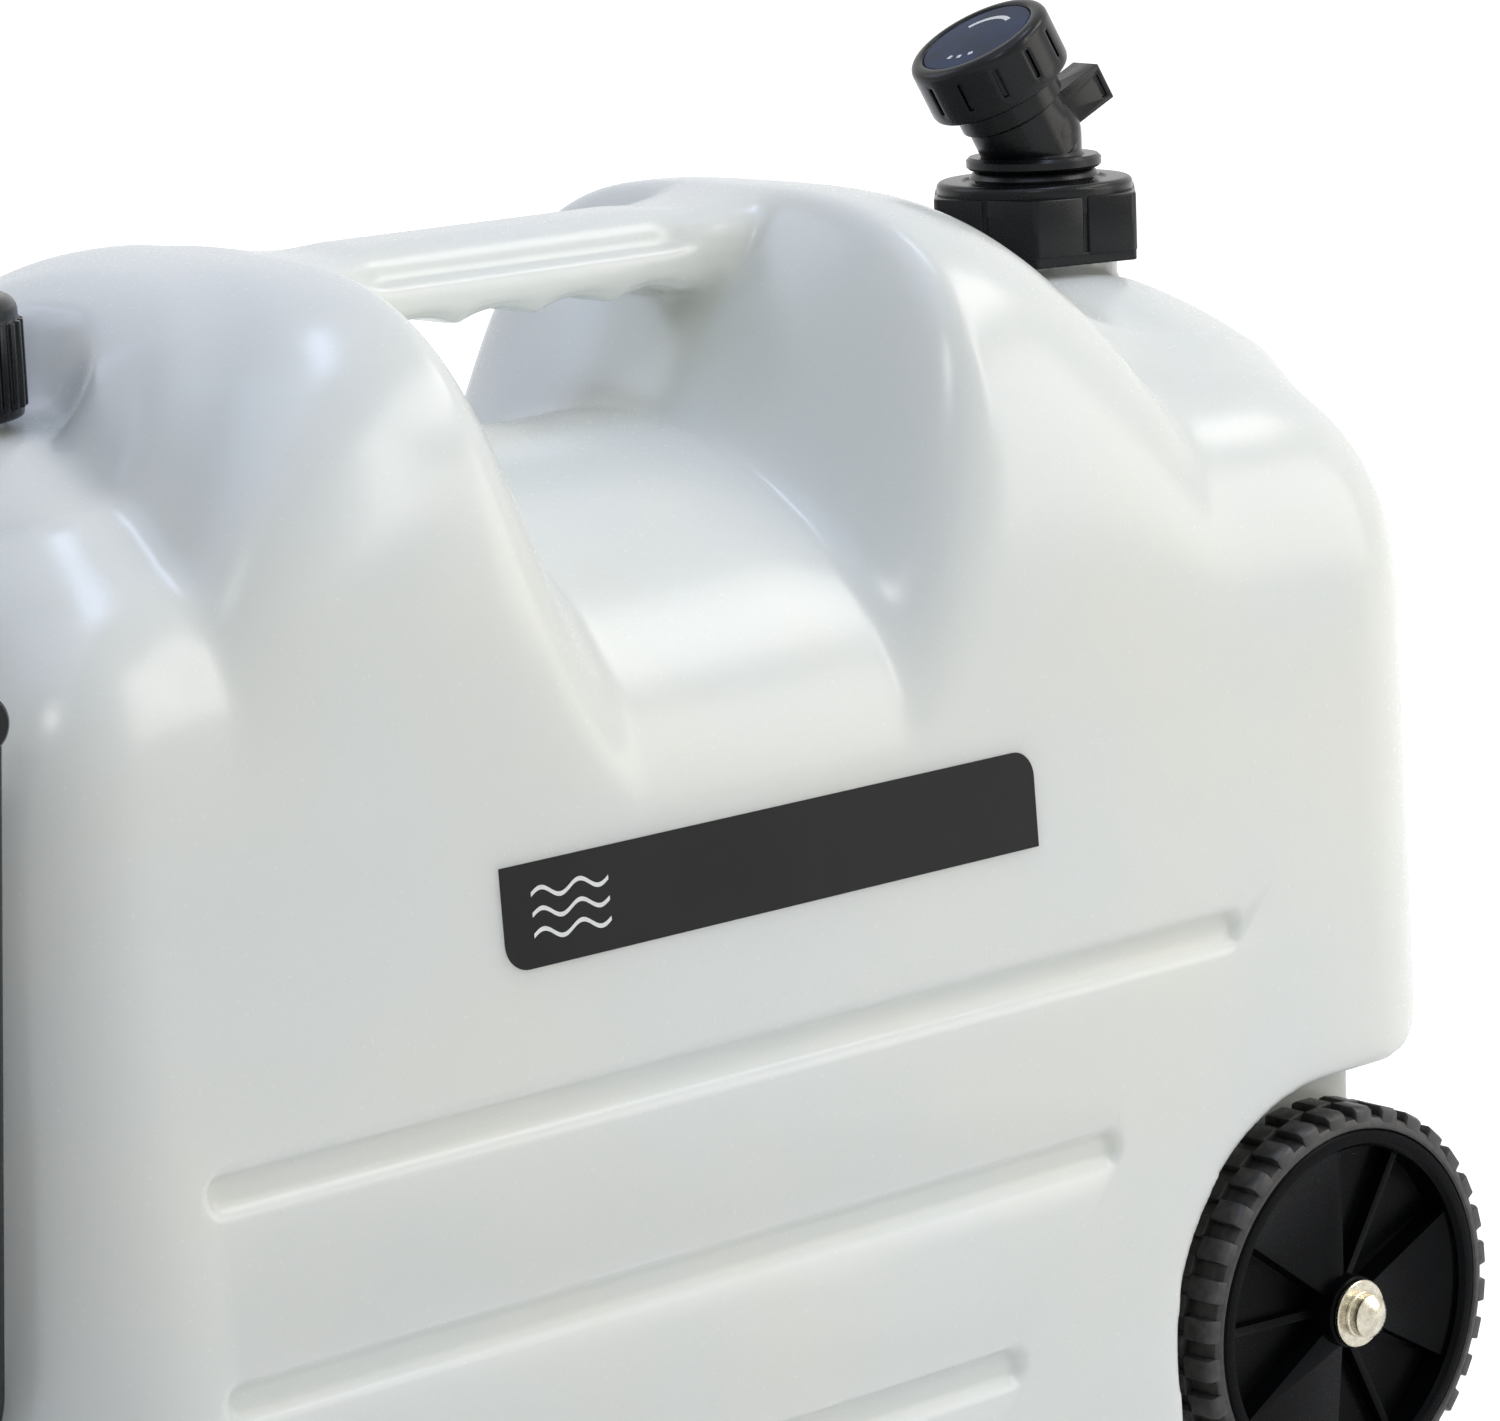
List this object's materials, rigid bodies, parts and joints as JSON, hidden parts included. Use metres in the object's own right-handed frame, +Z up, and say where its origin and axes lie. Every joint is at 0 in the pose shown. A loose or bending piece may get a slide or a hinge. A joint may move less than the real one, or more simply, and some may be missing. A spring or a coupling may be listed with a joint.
{
  "type": "rolling water carrier",
  "caption": "White blow moulded water tank with a carry grip between humps, swivelling tap, screw filler cap, side wheels on an axle and a fold out tow handle.",
  "frame": {"origin": "on the floor, under the middle of the tank's length and depth", "axes": "+X along the tank towards the wheels, label on the -Y face, +Z up"},
  "size_m": [0.496, 0.2568, 0.4113],
  "materials": {
    "tank_plastic": "fine grained satin",
    "black_plastic": "satin moulded",
    "label_film": "satin film",
    "steel": "zinc plated",
    "tyre_rubber": "matte",
    "seal_rubber": "matte",
    "grip_rubber": "soft touch",
    "white_plastic": "smooth",
    "knob_face": "high gloss"
  },
  "bodies": {
    "tank": {"tank_shell": "tank_plastic", "label_plate": "label_film", "axle_rod": "steel", "axle_bushes": "white_plastic", "inner_washers": "steel", "outer_washers": "steel", "axle_caps": "steel", "handle_brackets": "black_plastic", "bracket_screws": "steel", "pivot_pins": "steel", "pin_clips": "steel"},
    "front_wheel": {"front_wheel_hub": "black_plastic", "front_wheel_tyre": "tyre_rubber"},
    "back_wheel": {"back_wheel_hub": "black_plastic", "back_wheel_tyre": "tyre_rubber"},
    "tow_handle": {"tow_handle_frame": "black_plastic", "tow_handle_grip": "grip_rubber"},
    "fill_seal": {"fill_gasket": "seal_rubber"},
    "filler_cap": {"fill_cap": "black_plastic"},
    "tap_seal": {"tap_gasket": "seal_rubber"},
    "tap_nut": {"tap_collar": "black_plastic", "swivel_washer": "white_plastic"},
    "tap": {"tap_body": "black_plastic", "swivel_seal": "seal_rubber", "valve_seal": "seal_rubber", "barrel_nut": "black_plastic"},
    "tap_knob": {"valve_knob": "black_plastic", "knob_disc": "knob_face", "knob_screw": "steel", "valve_plug": "white_plastic"}
  },
  "joints": [
    {"name": "front_wheel_spin", "type": "hinge", "parent": "tank", "child": "front_wheel", "pos_m": [0.1784, -0.11, 0.0585], "axis": [0, 1, 0], "continuous": true},
    {"name": "back_wheel_spin", "type": "hinge", "parent": "tank", "child": "back_wheel", "pos_m": [0.1784, 0.11, 0.0585], "axis": [0, 1, 0], "continuous": true},
    {"name": "tow_swing", "type": "hinge", "parent": "tank", "child": "tow_handle", "pos_m": [-0.2465, 0, 0.29], "axis": [0, 1, 0], "range_deg": [0, 150]},
    {"name": "fill_lift", "type": "slide", "parent": "tank", "child": "fill_seal", "axis": [0, 0, 1], "range_m": [0, 0.036]},
    {"name": "fill_turn", "type": "hinge", "parent": "fill_seal", "child": "filler_cap", "pos_m": [-0.187, 0, 0.35], "axis": [0, 0, 1], "range_deg": [0, 1080]},
    {"name": "tap_lift", "type": "slide", "parent": "tank", "child": "tap_seal", "axis": [0, 0, 1], "range_m": [0, 0.036]},
    {"name": "tap_turn", "type": "hinge", "parent": "tap_seal", "child": "tap_nut", "pos_m": [0.187, 0, 0.35], "axis": [0, 0, 1], "range_deg": [0, 1080]},
    {"name": "tap_swivel", "type": "hinge", "parent": "tap_nut", "child": "tap", "pos_m": [0.187, 0, 0.36], "axis": [0, 0, 1], "continuous": true},
    {"name": "knob_turn", "type": "hinge", "parent": "tap", "child": "tap_knob", "pos_m": [0.187, 0, 0.3696], "axis": [-0.4699, 0.0829, 0.8788], "range_deg": [0, 90]}
  ],
  "couplings": [
    {"joint": "fill_turn", "follows": "fill_lift", "rad_per_m": 523.6},
    {"joint": "tap_turn", "follows": "tap_lift", "rad_per_m": 523.6}
  ]
}
